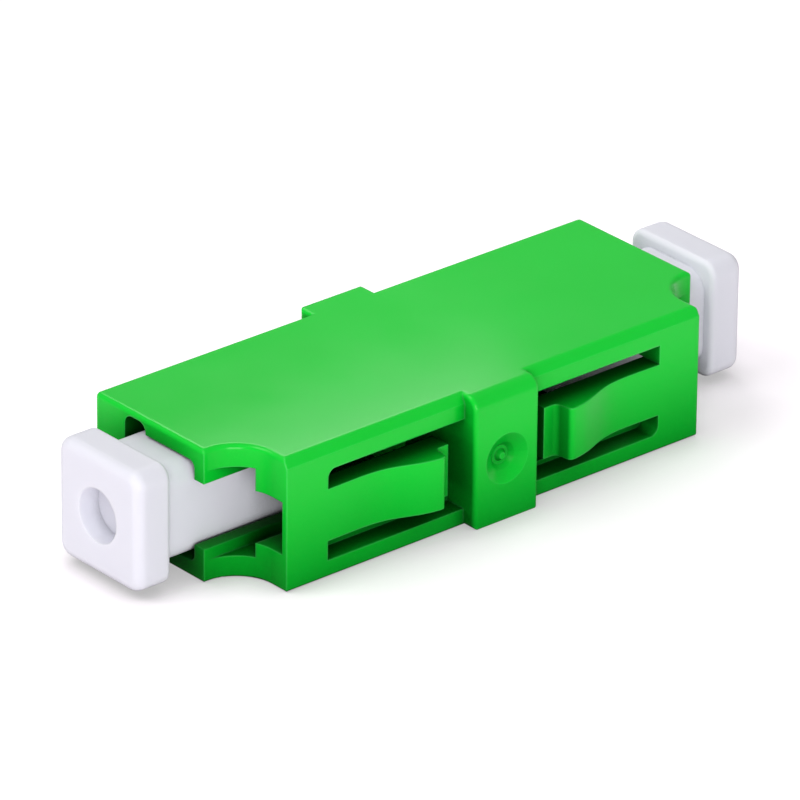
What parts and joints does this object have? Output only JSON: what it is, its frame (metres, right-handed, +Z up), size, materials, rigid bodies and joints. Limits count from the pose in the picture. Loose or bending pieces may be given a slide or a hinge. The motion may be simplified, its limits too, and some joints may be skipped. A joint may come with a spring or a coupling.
{
  "type": "lc fibre adapter",
  "caption": "Green moulded snap-in coupler for small-form fibre plugs, with sprung panel tongues, a collar and a white dust cap in each port.",
  "frame": {"origin": "middle of the housing's wide bottom face, halfway between the two ports", "axes": "+X from the near port to the far port, -Y towards the latch side, +Z up from the bottom face"},
  "size_m": [0.034, 0.0118, 0.0062],
  "materials": {
    "housing_green": "satin",
    "holder_green": "satin",
    "sleeve_ceramic": "polished",
    "cap_white": "satin"
  },
  "bodies": {
    "adapter": {"housing": "housing_green", "alignment_sleeve": "sleeve_ceramic", "sleeve_holder_near": "holder_green", "sleeve_holder_far": "holder_green"},
    "dust_cap_near": {"dust_cap_near": "cap_white"},
    "dust_cap_far": {"dust_cap_far": "cap_white"}
  },
  "joints": [
    {"name": "dust_cap_near_pull", "type": "slide", "parent": "adapter", "child": "dust_cap_near", "axis": [-1, 0, 0], "range_m": [0, 0.012]},
    {"name": "dust_cap_far_pull", "type": "slide", "parent": "adapter", "child": "dust_cap_far", "axis": [1, 0, 0], "range_m": [0, 0.012]}
  ]
}
